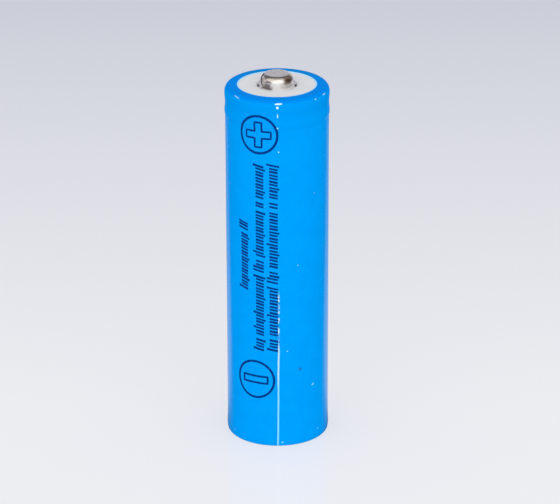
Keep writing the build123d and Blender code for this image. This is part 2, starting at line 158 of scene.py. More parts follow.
def piece(name, verts, faces, smooth=False):
    """A new object from points in metres and faces; smooth is for all faces, or a list."""
    mesh = bpy.data.meshes.new(name)
    mesh.from_pydata(verts, [], faces)
    each = smooth if isinstance(smooth, list) else [smooth] * len(faces)
    mesh.polygons.foreach_set("use_smooth", each)
    mesh.update()
    made = bpy.data.objects.new(name, mesh)
    scene.collection.objects.link(made)
    return made


floor_half, floor_z = 2.0, -0.00002
corners = ((-1, -1), (1, -1), (1, 1), (-1, 1))
floor_verts = [(x * floor_half, y * floor_half, floor_z) for x, y in corners]
floor = piece("floor", floor_verts, [(0, 1, 2, 3)])
material, tree, bsdf = shader("light_table")
axes = coordinates(tree)
front_y, back_y = -0.031, 0.258
shade = ramp(
    mapped(axes["Y"], front_y, back_y, smooth=False),
    (0.0, (0.85, 0.85, 0.88)),
    (0.13, (0.84, 0.84, 0.87)),
    (1.0, (0.55, 0.57, 0.64)),
)
# in reflections the sheet is bright only behind the cell, in a bay that widens backward
bay_curve, bay_front, bay_back = 11.4, -0.004, 0.012
foot_in_2, foot_out_2 = 7.2e-5, 8.2e-5  # squares of the radii between which it darkens
light_path = add(tree, "ShaderNodeLightPath").outputs
x_2, y_2 = times(axes["X"], axes["X"]), times(axes["Y"], axes["Y"])
into_bay = math("SUBTRACT", axes["Y"], times(x_2, bay_curve))
before_bay = math("SUBTRACT", 1, mapped(into_bay, bay_front, bay_back))
beside_foot = mapped(math("ADD", x_2, y_2), foot_in_2, foot_out_2)
dimmed = times(light_path["Is Glossy Ray"], before_bay, beside_foot)
lit = mixed(dimmed, shade, (0.07, 0.07, 0.08))
# what it throws on the cell is a little weaker, and its own colour is dark, as it glows
bounce_loss, unlit_share, glow = 0.16, 0.65, 0.674
unseen = math("SUBTRACT", 1, light_path["Is Camera Ray"])
lit = mixed(times(unseen, bounce_loss), lit, (0, 0, 0))
surface(bsdf, mixed(unlit_share, lit, (0, 0, 0)), 0.14)
feed(bsdf.inputs["Emission Color"], lit)
bsdf.inputs["Emission Strength"].default_value = glow
bsdf.inputs["Specular IOR Level"].default_value = 0.18
# the sheet can be looked through from below, so that the cell's foot can be seen
from_below = add(tree, "ShaderNodeNewGeometry").outputs["Backfacing"]
looked_through = times(from_below, light_path["Is Camera Ray"])
clear = add(tree, "ShaderNodeBsdfTransparent").outputs[0]
sheet_light = shaded(looked_through, clear, bsdf.outputs[0])
feed(tree.nodes["Material Output"].inputs[0], sheet_light)
floor.data.materials.append(material)

lamp_energy, lamp_spread, lamp_lean = 0.33, radians(50), radians(75)
for name, azimuth in (("lamp_left", -20), ("lamp_right", 20)):
    lamp = bpy.data.objects.new(name, bpy.data.lights.new(name, "SUN"))
    scene.collection.objects.link(lamp)
    lamp.data.energy = lamp_energy
    lamp.data.angle = lamp_spread
    lamp.rotation_euler = (lamp_lean, 0, radians(azimuth))
    lamp.visible_glossy = False

# The tent: even light for matt surfaces, and for glossy ones its white front panel, the
# dark gap behind the overhead panel, and the backdrop that shades upward to grey.
world = bpy.data.worlds.new("tent")
scene.world = world
world.use_nodes = True
tree = world.node_tree
tree.nodes.clear()
direction = add(tree, "ShaderNodeTexCoord").outputs["Generated"]
axes = add(tree, "ShaderNodeSeparateXYZ", Vector=direction).outputs
climb = mapped(math("ARCSINE", axes["Z"]), 0, pi / 2, smooth=False)
back_wall = ramp(
    climb,
    (0.0, (0.80, 0.81, 0.86)),
    (0.14, (0.56, 0.57, 0.63)),
    (0.25, (0.38, 0.38, 0.43)),
    (0.34, (0.09, 0.085, 0.09)),
    (0.82, (0.05, 0.045, 0.045)),
    (1.0, (0.32, 0.29, 0.27)),
)
front_wall = ramp(
    climb,
    (0.0, (0.62, 0.57, 0.52)),
    (0.35, (0.80, 0.74, 0.68)),
    (0.62, (0.62, 0.55, 0.50)),
    (0.85, (0.42, 0.37, 0.34)),
    (1.0, (0.32, 0.29, 0.27)),
)
tent = mixed(mapped(axes["Y"], -0.25, 0.25), front_wall, back_wall)
# soft round patches on the tent, all but two of them dark:
# (azimuth from the front, elevation, radii where it is full and where it ends, colour)
patches = (
    (108, 24, 28, 50, (0.12, 0.075, 0.05)),
    (-62, -4, 12, 30, (0.11, 0.09, 0.09)),
    (-156, 6, 9, 20, (0.05, 0.04, 0.04)),
    (156, 8, 8, 18, (0.50, 0.46, 0.43)),
    (8, 12, 34, 48, (1.15, 1.14, 1.12)),
)
for azimuth, elevation, full, end, colour in patches:
    a, e = radians(azimuth), radians(elevation)
    near = add(tree, "ShaderNodeVectorMath", operation="DOT_PRODUCT", Vector=direction)
    near.inputs[1].default_value = (sin(a) * cos(e), -cos(a) * cos(e), sin(e))
    inside = mapped(near.outputs["Value"], cos(radians(end)), cos(radians(full)))
    tent = mixed(inside, tent, colour)
light_path = add(tree, "ShaderNodeLightPath").outputs
frontal = mapped(axes["Y"], -1, 1, 1.22, 0.62, smooth=False)
for_matt = add(tree, "ShaderNodeBackground", Color=frontal).outputs[0]
for_glossy = add(tree, "ShaderNodeBackground", Color=tent).outputs[0]
for_camera = add(tree, "ShaderNodeBackground", Color=(0.58, 0.59, 0.67)).outputs[0]
tent_light = shaded(light_path["Is Glossy Ray"], for_glossy, for_matt)
tent_light = shaded(light_path["Is Camera Ray"], for_camera, tent_light)
feed(add(tree, "ShaderNodeOutputWorld").inputs[0], tent_light)

# ------------------------------------------------------ sleeve
# A tube of blue heat-shrink PVC film, shrunk over the whole cell. Its flat fold is left as a raised
# line down the front, whitened and with a painted highlight; it bridges the can's bead, and it draws
# in over both ends.
body_r, film = 9.38, 0.09  # millimetres, like all sizes of pieces; those in materials are metres
foot_round, foot_hole_r = 0.55, 6.98
lip_z, lip_hole_r = 67.90, 6.97
bead_z, dip_r = 64.58, 9.405
flare_rise, flare_z, flare_half = 0.06, 1.1, 1.5
taper_rise, taper_z = 0.015, 50
swell_z = bead_z - 2.60
ridge = (9.51, bead_z - 1.45)
rim, shoulder = (9.502, lip_z - 1.30), (0.95, 1.30)
# a strip behind, where the film lies over the nickel strip and its tape
bulge_r, bulge_half, bulge_turn, bulge_ramp = 9.50, 5.20, 0.75, 0.54
bulge_edge = sqrt(body_r**2 - bulge_half**2)
bulge_centre = (bulge_r**2 - body_r**2) / (2 * (bulge_r - bulge_edge))
# the fold and the valley at its left: sharp up to fade_z, then faint up to faint_z
fold_rise, fold_half, fold_zone = 0.050, 0.13, 1.5
valley_drop, valley_off, valley_half = 0.018, 0.33, 0.20
fade_z, fade_over, faint, faint_z, faint_over = 30.5, 0.9, 0.10, 58, 4
# the fold leans to the right and waves: (reach, height in which the wave turns by a radian)
fold_lean, lean_z = 0.32, 20
fold_waves = ((0.020, 3.1), (0.012, 1.3))
# the drawn-in lip is faintly puckered, and its cut edge wanders: (reach, puckers round, phase)
puckers = ((0.010, 23, 1.1), (0.007, 41, 0), (0.006, 9, 0))


def swell(z, start, end):
    """Radius at z between two (radius, height) points, upright at both."""
    low, high = 0.0, 1.0
    for _ in range(30):
        t = (low + high) / 2
        reached = start[1] + (end[1] - start[1]) * (1.5 * t * (1 - t) + t**3)
        low, high = (t, high) if reached < z else (low, t)
    return start[0] + (end[0] - start[0]) * (3 * t**2 - 2 * t**3)


def straight_r(z):
    """Radius of the film at z, without its fold and the strip behind it."""
    if z <= swell_z:
        flare = flare_rise * exp(-(((z - flare_z) / flare_half) ** 2)) if z > foot_round else 0
        return body_r + flare + taper_rise * max(z - taper_z, 0) / (swell_z - taper_z)
    if z <= ridge[1]:
        return swell(z, (body_r + taper_rise, swell_z), ridge)
    if z <= bead_z:
        return swell(z, ridge, (dip_r, bead_z))
    return swell(z, (dip_r, bead_z), rim)


def fold_s(z):
    """How far to the right of the front the fold runs at z."""
    lean = fold_lean * (1 - exp(-max(z, 0) / lean_z))
    return lean + sum(reach * sin(z / wave) for reach, wave in fold_waves)


def film_r(angle, z):
    """Radius of the film. The angle is from the front, in radians, positive to the right."""
    r = straight_r(z)
    behind = abs(abs(angle) - pi)
    if behind < bulge_turn:
        reach = min(max((z - foot_round) / bulge_ramp, 0), 1)
        lifted = bulge_centre * cos(behind)
        lifted += sqrt((bulge_r - bulge_centre) ** 2 - (bulge_centre * sin(behind)) ** 2)
        r += reach * max(lifted - r, 0)
    across = angle * body_r - fold_s(z)
    if abs(across) < fold_zone:
        sharp = 1 / (1 + exp((z - fade_z) / fade_over))
        sharp += faint * min(max((faint_z - z) / faint_over, 0), 1)
        raised = fold_rise * exp(-((across / fold_half) ** 2))
        sunk = valley_drop * exp(-(((across + valley_off) / valley_half) ** 2))
        r += sharp * (raised - sunk)
    return r


def at(r, angle, z):
    """The point in metres at a radius, an angle from the front and a height."""
    return (r * sin(angle) / 1000, -r * cos(angle) / 1000, z / 1000)


def closed_rings(rings, sides):
    """Faces of a solid of revolution, whose section's points run anticlockwise."""
    faces = []
    for k in range(rings):
        above = (k + 1) % rings
        for j in range(sides):
            i = (j + 1) % sides
            faces.append((k * sides + j, k * sides + i, above * sides + i, above * sides + j))
    return faces


fine_turn, coarse_turn, fine_zone = 0.16, 1.5, 4.2  # degrees; columns are close by the fold
columns = []
step = 0.0
while step < 360:
    from_front = (step + 180) % 360 - 180
    columns.append(radians(from_front))
    step += fine_turn if abs(from_front) < fine_zone else coarse_turn
columns.sort()
# the section, anticlockwise: (radius, or film_r with this added if not over 0; height; pucker)
foot_flat_r, lip_flat_r = body_r - foot_round, rim[0] - shoulder[0]
rows = [(foot_hole_r + k * (foot_flat_r - foot_hole_r) / 4, 0.0, 0) for k in range(5)]
for k in range(1, 8):
    a = radians(90 * k / 8)
    rows.append((foot_flat_r + foot_round * sin(a), foot_round * (1 - cos(a)), 0))
z = foot_round
while z < rim[1] - 0.01:
    rows.append((0, z, 0))
    z += 0.14 if z > swell_z - 0.7 else 0.62
for k in range(15):
    a = radians(90 * k / 15)
    rows.append((rim[0] - shoulder[0] * (1 - cos(a)), rim[1] + shoulder[1] * sin(a), 0.5))
rows += [(lip_flat_r + k * (lip_hole_r + 0.05 - lip_flat_r) / 5, lip_z, 1) for k in range(6)]
rows += [(lip_hole_r + 0.01, lip_z - 0.015, 1), (lip_hole_r, lip_z - 0.045, 1)]
rows += [(lip_hole_r, lip_z - film, 1), (lip_flat_r, lip_z - film, 0.5)]
for k in range(9, -1, -1):
    a = radians(90 * k / 10)
    inner_r = rim[0] - film - shoulder[0] * (1 - cos(a))
    rows.append((inner_r, rim[1] + (shoulder[1] - film) * sin(a), 0.5))
rows += [(-film, z, 0) for z in (rim[1] - 1, bead_z, ridge[1], swell_z, 50, 35, 20, 8, 1.0)]
rows += [(body_r - film, 0.42, 0), (foot_flat_r, film, 0), (foot_hole_r, film, 0)]
verts = []
for radius, z, puckered in rows:
    for angle in columns:
        r = radius if radius > 0 else film_r(angle, z) + radius
        r += puckered * sum(reach * sin(count * angle + phase) for reach, count, phase in puckers)
        verts.append(at(r, angle, z))
sleeve = piece("shrink_sleeve", verts, closed_rings(len(rows), len(columns)), smooth=True)


def length(x, y):
    """The length of the flat vector (x, y)."""
    return math("SQRT", math("ADD", times(x, x), times(y, y)))


def grain(tree, scale, detail=3, stretch=(1, 1, 1), roughness=0.5):
    """Noise over the piece, from 0 to 1; a stretch below 1 along an axis draws it out into streaks."""
    place = add(tree, "ShaderNodeTexCoord").outputs["Object"]
    drawn = add(tree, "ShaderNodeMapping", Vector=place, Scale=stretch).outputs[0]
    settings = {"Scale": scale, "Detail": detail, "Roughness": roughness}
    return add(tree, "ShaderNodeTexNoise", Vector=drawn, **settings).outputs["Fac"]


def bumped(bsdf, height, strength, distance):
    """Feeds a height into a Bump node and that into the shader's normal."""
    settings = {"Height": height, "Strength": strength, "Distance": distance}
    feed(bsdf.inputs["Normal"], add(bsdf.id_data, "ShaderNodeBump", **settings).outputs[0])


material, tree, bsdf = shader("blue_shrink_film")
axes = coordinates(tree)
height = axes["Z"]
out = length(axes["X"], axes["Y"])
# pigment: a faint mottle, and the colour a little darker from just below the bead up
mottle = grain(tree, 420, 3, roughness=0.55)
blue = mixed(mapped(mottle, 0.35, 0.65), (0.0, 0.334, 0.925), (0.0, 0.349, 0.955))
blue = mixed(mapped(height, 0.0600, 0.0655), blue, (0.0, 0.316, 0.89))
# painted shade: the lip on top is darker, darkest at the back, for the weaker light from above
lip_painted_shade = mixed(mapped(axes["Y"], 0.002, 0.007), (0.0, 0.236, 0.80), (0.0, 0.228, 0.66))
blue = mixed(mapped(height, 0.0671, 0.0677), blue, lip_painted_shade)
# the fold: creased, and whitened with a painted highlight along its ridge, whitest between a quarter
# and a half of the way up
wander = grain(tree, 900, 4, roughness=0.7)
upright = math("EXPONENT", times(height, -1000 / lean_z))
line = times(math("SUBTRACT", 1, upright), fold_lean / 1000)
for reach, wave in fold_waves:
    waving = math("SINE", times(height, 1000 / wave))
    line = math("ADD", line, times(waving, reach / 1000))
across = math("SUBTRACT", axes["X"], line)
ragged = times(math("SUBTRACT", wander, 0.5), 0.00022)
ragged = times(ragged, mapped(height, 0.010, 0.020))
off_line = math("ABSOLUTE", math("ADD", across, ragged))
on_line = mapped(off_line, 0.00008, 0.00022, 1, 0)
in_front = math("LESS_THAN", axes["Y"], 0)
low_down = mapped(height, 0.0297, 0.0315, 1, 0)
unbroken = mapped(height, 0.0185, 0.0225, 1, 0)
broken = math("MAXIMUM", mapped(wander, 0.46, 0.56), unbroken)
fold = times(on_line, in_front, low_down, broken)
# painted highlight: part of the fold's pale colour stands for its ridge catching the light
whitened_and_highlit = mixed(mapped(height, 0.011, 0.0155), (0.24, 0.72, 1.0), (0.48, 0.78, 1.0))
blue = mixed(fold, blue, whitened_and_highlit)
# painted shade: a darker line in the valley just left of the fold
off_valley = math("ABSOLUTE", math("ADD", across, 0.00030))
valley = times(mapped(off_valley, 0.00004, 0.00016, 1, 0), in_front, low_down)
blue = mixed(times(valley, 0.45), blue, (0.0, 0.24, 0.80))
# painted highlight: the film is paler along its cut edge at the lip and along its edge round the foot,
# where the edges catch the light
lip_edge_highlight = mapped(out, 0.00708, 0.00730, 1, 0)
lip_edge_highlight = times(lip_edge_highlight, mapped(height, 0.067, 0.0675))
foot_edge_highlight = mapped(height, 0.00017, 0.00026, 1, 0)
foot_edge_highlight = times(foot_edge_highlight, mapped(out, 0.00885, 0.00893), 0.75)
blue = mixed(math("MAXIMUM", lip_edge_highlight, foot_edge_highlight), blue, (0.50, 0.82, 1.0))
surface(bsdf, blue, mapped(grain(tree, 180, 4), 0.3, 0.7, 0.07, 0.14))
# gloss: the film shines only where it is seen aslant, less so higher up and over the bead
glance = add(tree, "ShaderNodeLayerWeight", Blend=0.5).outputs["Facing"]
slack = mapped(height, 0.0590, 0.0655, 1, 0.12)
lower = mapped(height, 0.010, 0.055, 0.92, 0.40)
gloss = times(mapped(glance, 0.50, 0.70), lower, slack)
feed(bsdf.inputs["Coat Weight"], gloss)
bsdf.inputs["Coat Roughness"].default_value = 0.08
bsdf.inputs["Coat IOR"].default_value = 1.5
bsdf.inputs["Specular IOR Level"].default_value = 0.0
streak = grain(tree, 900, 2, (1, 1, 0.12))
bumped(bsdf, math("ADD", streak, mottle), 0.12, 0.00004)
sleeve.data.materials.append(material)
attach(sleeve, "cell")
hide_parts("sleeve")

# ------------------------------------------------ sleeve print
# Dark blue ink, screen-printed on the film before it is shrunk: a ringed plus near the button,
# a ringed minus near the foot and three columns of plain tick marks between them.
ink_lift, ink_step = 0.012, 0.25
plus_at, plus_arm, plus_half, plus_ring = (-3.46, 61.34), 2.35, 0.66, 3.50
minus_at, minus_arm, minus_half, minus_ring = (-4.25, 13.40), 2.40, 0.66, 3.60
ring_sides = 72
ink_verts, ink_faces = [], []


def ink_point(s, z):
    """A point just over the film; s is the arc from the front in millimetres."""
    angle = s / body_r
    ink_verts.append(at(film_r(angle, z) + ink_lift, angle, z))
    return len(ink_verts) - 1


def ink_stroke(points, width):
    """A stroke of even width along (s, z) points, divided finely enough to follow the film."""
    path = []
    for (s0, z0), (s1, z1) in zip(points, points[1:]):
        parts = max(1, int(hypot(s1 - s0, z1 - z0) / ink_step))
        path += [(s0 + (s1 - s0) * k / parts, z0 + (z1 - z0) * k / parts) for k in range(parts)]
    path.append(points[-1])
    closed = points[0] == points[-1]
    before = None
    for k, (s, z) in enumerate(path):
        last = path[k - 1] if k else (path[-2] if closed else (s, z))
        following = path[k + 1] if k + 1 < len(path) else (path[1] if closed else (s, z))
        ds, dz = following[0] - last[0], following[1] - last[1]
        long = hypot(ds, dz)
        ns, nz = -dz / long * width / 2, ds / long * width / 2
        pair = (ink_point(s + ns, z + nz), ink_point(s - ns, z - nz))
        if before:
            ink_faces.append((before[0], before[1], pair[1], pair[0]))
        before = pair


def ring_points(centre, r):
    """A closed ring of (s, z) points."""
    turns = [2 * pi * k / ring_sides for k in range(ring_sides)] + [0]
    return [(centre[0] + r * cos(a), centre[1] + r * sin(a)) for a in turns]


def plus_points(centre, arm, half):
    """The outline of a plus as closed (s, z) points."""
    corners = []
    for quarter in range(4):
        a = radians(90 * quarter)
        for x, y in ((half, half), (half, arm), (-half, arm), (-half, half)):
            corners.append((centre[0] + x * cos(a) - y * sin(a), centre[1] + x * sin(a) + y * cos(a)))
    return corners + corners[:1]


ink_stroke(ring_points(plus_at, plus_ring), 0.46)
ink_stroke(plus_points(plus_at, plus_arm, plus_half), 0.36)
ink_stroke(ring_points(minus_at, minus_ring), 0.44)
box = ((-1, -1), (1, -1), (1, 1), (-1, 1), (-1, -1))
ink_stroke([(minus_at[0] + x * minus_arm, minus_at[1] + y * minus_half) for x, y in box], 0.40)

# (baseline arc, lowest and highest height, marks from the bottom up: T tall tick, s short, space)
tick_columns = (
    (-5.66, 31.1, 43.8, "Tssssssssssssssssss TTT"),
    (-2.50, 19.4, 55.2, "Tsss ssTssssTsssssssssssT TTss sTsssssssssssss ss ssssssssssT"),
    (0.08, 19.4, 55.4, "Tsss ssssssTssssssssT TTss sssssssTssssssssss ss ssssssssssT"),
)
tall, short, thin, thick, uneven = 2.05, 1.52, 0.36, 0.44, 0.08
for baseline, low, high, marks in tick_columns:
    spacing = (high - low) / (len(marks) - 1)
    for number, mark in enumerate(marks):
        if mark == " ":
            continue
        z = low + spacing * (number + (uneven if number % 2 else 0))
        reach = tall if mark == "T" else short
        tail = 0.30 if number % 7 == 3 else 0.0
        ends = [(baseline + tail, z - 0.2 * tail), (baseline - reach, z + 0.2 * reach)]
        ink_stroke(ends, thin if number % 3 else thick)
ink = piece("sleeve_print", ink_verts, ink_faces)
material, tree, bsdf = shader("navy_ink")
patchy = grain(tree, 1600, 4, roughness=0.7)
navy = mixed(mapped(patchy, 0.40, 0.72), (0.0, 0.036, 0.22), (0.0, 0.062, 0.30))
surface(bsdf, navy, mapped(patchy, 0.3, 0.7, 0.25, 0.40))
bsdf.inputs["Specular IOR Level"].default_value = 0.04
bumped(bsdf, patchy, 0.08, 0.00003)
ink.data.materials.append(material)
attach(ink, "cell")

# --------------------------------------------------- film nub glints
# Painted glints: tiny pale flecks where small bumps in the film catch the light: a row up the front
# over the bead, where the fold was pressed flat, and a few scattered ones. A grain of dirt is caught
# by one side.
nub_lift, nub_lift_over_rim, nub_rise = 0.007, 0.015, 0.004
nub_sides, nub_rings = 10, (0.35, 0.7, 1.0)
# (angle from the front in degrees, height, half length, half width, turn in degrees)
nub_glints = (
    (1.5, 67.33, 0.72, 0.13, 2),
    (0.4, 66.67, 0.24, 0.24, 0),
    (0.5, 65.06, 0.13, 0.40, 0),
    (0.5, 62.80, 0.16, 0.16, 0),
    (1.5, 58.25, 0.14, 0.14, 0),
    (-69.4, 57.12, 0.14, 0.12, 30),
    (-65.8, 50.25, 0.13, 0.11, 0),
    (45.2, 49.37, 0.10, 0.10, 0),
    (43.6, 11.59, 0.34, 0.16, 25),
    (5.2, 0.95, 0.18, 0.16, 20),
    (-57.4, 1.66, 0.30, 0.09, -50),
    (11.0, 19.30, 0.16, 0.08, 15),
    (51.8, 2.13, 0.20, 0.09, 50),
    (64.3, 67.34, 0.60, 0.10, 3),
    (46.8, 67.22, 0.18, 0.13, 0),
    (-50.6, 67.46, 0.80, 0.09, -8),
    (23.4, 36.07, 0.10, 0.10, 0),
)
dirt = (26.4, 15.37, 0.36, 0.26, 40)


def on_film(angle, z):
    """A point just over the film, also on its rounded shoulder."""
    if z > rim[1]:
        a = asin(min((z - rim[1]) / shoulder[1], 1))
        r = rim[0] - shoulder[0] * (1 - cos(a))
    else:
        r = film_r(angle, z)
    r += nub_lift_over_rim if z > rim[1] - 0.2 else nub_lift
    return at(r, angle, z + nub_rise)


def fleck(name, flecks):
    """Flat oval flecks in one piece, each laid on the film."""
    verts, faces = [], []
    for angle, z, long, wide, turn in flecks:
        first, t = len(verts), radians(turn)
        verts.append(on_film(radians(angle), z))
        for size in nub_rings:
            for k in range(nub_sides):
                a = 2 * pi * k / nub_sides
                x, y = size * long * cos(a), size * wide * sin(a)
                s, up = x * cos(t) - y * sin(t), x * sin(t) + y * cos(t)
                verts.append(on_film(radians(angle) + s / body_r, z + up))
        for k in range(nub_sides):
            here, after = first + 1 + k, first + 1 + (k + 1) % nub_sides
            faces.append((first, here, after))
            for ring in (0, nub_sides):
                outer = ring + nub_sides
                faces.append((here + ring, here + outer, after + outer, after + ring))
    obj = piece(name, verts, faces)
    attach(obj, "cell")
    return obj


# painted glints: pale flecks that stand for small bumps of the film catching the light
flecks = fleck("film_nubs", nub_glints)
material, tree, bsdf = shader("whitened_film")
axes = coordinates(tree)
glint_mottle = grain(tree, 3000, 2)
pale = mixed(mapped(glint_mottle, 0.35, 0.7), (0.40, 0.84, 1.0), (0.20, 0.68, 1.0))
# painted highlight brightest on the shoulder; the glints are painted dimmer and bluer toward the
# sides, the left ones darkest
pale = mixed(mapped(axes["Z"], 0.0655, 0.0664), pale, (0.66, 0.93, 1.0))
pale = mixed(mapped(axes["X"], 0.0040, 0.0060, 0, 0.6), pale, (0.10, 0.56, 1.0))
pale = mixed(mapped(axes["X"], -0.0060, -0.0045, 0.65, 0), pale, (0.04, 0.44, 0.95))
surface(bsdf, pale, 0.25)
bumped(bsdf, glint_mottle, 0.1, 0.00002)
flecks.data.materials.append(material)

flecks = fleck("film_dirt", (dirt,))
material, tree, bsdf = shader("dirt_under_film")
clump = mapped(grain(tree, 4000, 3), 0.35, 0.65)
surface(bsdf, mixed(clump, (0.0, 0.14, 0.48), (0.0, 0.22, 0.66)), 0.35)
flecks.data.materials.append(material)

# --------------------------------------------- button terminal
# Positive terminal: one cup of thin nickel-plated steel, drawn with a wide flange under the
# white ring. Two short slots through the flange, at the foot of the button, let gas out.
button_top, flange_top, sheet = 69.90, 67.61, 0.20
button_r, button_foot_r, foot_fillet = 2.98, 2.80, 0.15
flat_r, shoulder_drop = 2.05, 1.30
flange_r, flange_bevel = 4.83, 0.05
slot_in, slot_out, slot_half = 3.22, 3.58, 0.90
sides = 144
close = 1e-6


def cup_skin(inset):
    """(radius, height) points of one skin of the cup, from the axis out to the flange's edge."""
    top, foot, fillet = button_top - inset, flange_top - inset, foot_fillet + inset
    points = [(r, top) for r in (0.0, 0.6, 1.2, 1.7)]
    for k in range(21):
        a = radians(90 * k / 20)
        wide, tall = button_r - flat_r - inset, shoulder_drop - inset
        points.append((flat_r + wide * sin(a), top - tall * (1 - cos(a))))
    low = button_top - shoulder_drop
    for k in range(1, 6):
        t = k / 5
        r = button_r - inset - (button_r - button_foot_r) * t * t
        points.append((r, low + (foot + fillet - low) * t))
    for k in range(1, 9):
        a = radians(90 * k / 8)
        points.append((button_foot_r - inset + fillet * (1 - cos(a)), foot + fillet * (1 - sin(a))))
    points += [(r, foot) for r in (3.75, 4.3, flange_r - flange_bevel)]
    for r in (slot_in, slot_out):  # the slots' edges fall on rows of their own
        for k in range(len(points) - 1, 0, -1):
            (r0, z0), (r1, z1) = points[k - 1], points[k]
            if r0 < r - close and r1 > r + close and z0 < flange_top + 0.6:
                points.insert(k, (r, z0 + (z1 - z0) * (r - r0) / (r1 - r0)))
                break
    return points + [(flange_r, foot + (flange_bevel if inset else -flange_bevel))]


def circle(r, z, sides):
    """Points in metres, evenly round the Z axis."""
    turns = [2 * pi * j / sides for j in range(sides)]
    return [(r * cos(a) / 1000, r * sin(a) / 1000, z / 1000) for a in turns]


skins = [cup_skin(0), cup_skin(sheet)]
verts, faces, skin_start = [], [], []
for skin in skins:
    skin_start.append(len(verts))
    verts += circle(0, skin[0][1], 1)
    for r, z in skin[1:]:
        verts += circle(r, z, sides)


def row(skin, k):
    """Numbers of the vertices round a skin's k-th point."""
    return [skin_start[skin] + (k - 1) * sides + j + 1 for j in range(sides)]


slot_turn = slot_half / ((slot_in + slot_out) / 2)  # the sine of half a slot's angle
cut = [abs(sin(2 * pi * (j + 0.5) / sides)) < slot_turn - close for j in range(sides)]
slot_rows = ([], [])
for number, skin in enumerate(skins):
    facing = 1 if number == 0 else -1
    first = row(number, 1)
    for j in range(sides):
        faces.append((skin_start[number], first[j], first[(j + 1) % sides])[::facing])
    for k in range(1, len(skin) - 1):
        inner, outer = row(number, k), row(number, k + 1)
        slotted = slot_in - close <= skin[k][0] and skin[k + 1][0] <= slot_out + close
        if slotted:
            slot_rows[number].append(k)
        for j in range(sides):
            i = (j + 1) % sides
            if not (slotted and cut[j]):
                faces.append((inner[j], outer[j], outer[i], inner[i])[::facing])
above, below = (row(number, len(skins[number]) - 1) for number in (0, 1))
for j in range(sides):
    i = (j + 1) % sides
    faces.append((above[j], below[j], below[i], above[i]))
# walls of the slots, between the two skins
edges = [(row(n, slot_rows[n][0]), row(n, slot_rows[n][-1] + 1)) for n in (0, 1)]
(near_above, far_above), (near_below, far_below) = edges
for j in range(sides):
    i = (j + 1) % sides
    if cut[j]:
        faces.append((near_above[i], near_below[i], near_below[j], near_above[j]))
        faces.append((far_above[j], far_below[j], far_below[i], far_above[i]))
for j in range(sides):
    if cut[j] != cut[j - 1]:
        outline = [row(0, k)[j] for k in slot_rows[0]] + [far_above[j], far_below[j]]
        outline += [row(1, k)[j] for k in reversed(slot_rows[1])]
        faces.append(outline if cut[j] else outline[::-1])
button = piece("positive_button", verts, faces, smooth=[len(face) <= 4 for face in faces])
material, tree, bsdf = shader("bright_nickel_plate")
axes = coordinates(tree)
height = axes["Z"]
tarnish = grain(tree, 700, 5, roughness=0.65)
# the flange was blasted dull for welding, and the wall's lower half was drawn satin
blasted = mapped(height, 0.06762, 0.06774, 1, 0)
worn = mapped(height, 0.0683, 0.0690, 0.62, 0.95)
metallic = times(worn, mapped(blasted, 0, 1, 1, 0.25))
nickel = mixed(mapped(tarnish, 0.35, 0.75), (0.95, 0.92, 0.89), (0.86, 0.82, 0.78))
nickel = mixed(blasted, nickel, (0.74, 0.74, 0.78))
# painted reflections: dark and warm patches standing for what the bright nickel reflects, with
# wandering edges:
# (from and to this turn from the front in degrees, from and to this height in millimetres, strength,
# colour)
wander = mapped(tarnish, 0.25, 0.75, -0.10, 0.10, smooth=False)
turn = math("ARCTAN2", axes["X"], times(axes["Y"], -1))
turn = math("ADD", turn, wander)
painted_reflections = (
    (-66, -22, 67.615, 67.95, 0.88, (0.10, 0.07, 0.07)),
    (-92, -60, 67.95, 69.40, 0.88, (0.07, 0.05, 0.05)),
    (-60, -42, 68.40, 69.50, 0.75, (0.74, 0.62, 0.54)),
    (-64, -42, 67.90, 68.45, 0.60, (0.42, 0.35, 0.32)),
    (-46, -25, 67.95, 68.72, 0.80, (0.13, 0.10, 0.11)),
    (27, 60, 68.55, 69.45, 0.85, (0.22, 0.15, 0.11)),
    (32, 62, 67.80, 68.50, 0.60, (0.40, 0.34, 0.31)),
    (14, 28, 68.00, 69.10, 0.45, (0.62, 0.54, 0.47)),
)
fade_out, fade_in = 9, 5  # degrees by which a patch's sides fade outward and inward
fade_low, fade_high = (0.05, 0.06), (0.12, 0.12)  # millimetres below and above its foot and top
# each painted reflection is mixed into the nickel's colour
for left, right, low, high, strength, colour in painted_reflections:
    reflection_patch = times(
        mapped(turn, radians(left - fade_out), radians(left + fade_in)),
        mapped(turn, radians(right - fade_in), radians(right + fade_out), 1, 0),
        mapped(height, (low - fade_low[0]) / 1000, (low + fade_low[1]) / 1000),
        mapped(height, (high - fade_high[0]) / 1000, (high + fade_high[1]) / 1000, strength, 0),
    )
    nickel = mixed(reflection_patch, nickel, colour)
polish = mapped(tarnish, 0.3, 0.7, 0.12, 0.18)
polish = math("ADD", polish, mapped(blasted, 0, 1, 0, 0.35))
polish = math("ADD", polish, mapped(height, 0.0687, 0.0692, 0.30, 0))
surface(bsdf, nickel, polish, metallic)
bumped(bsdf, grain(tree, 2600, 2), 0.05, 0.00002)
button.data.materials.append(material)
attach(button, "cell")
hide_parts("button_terminal")

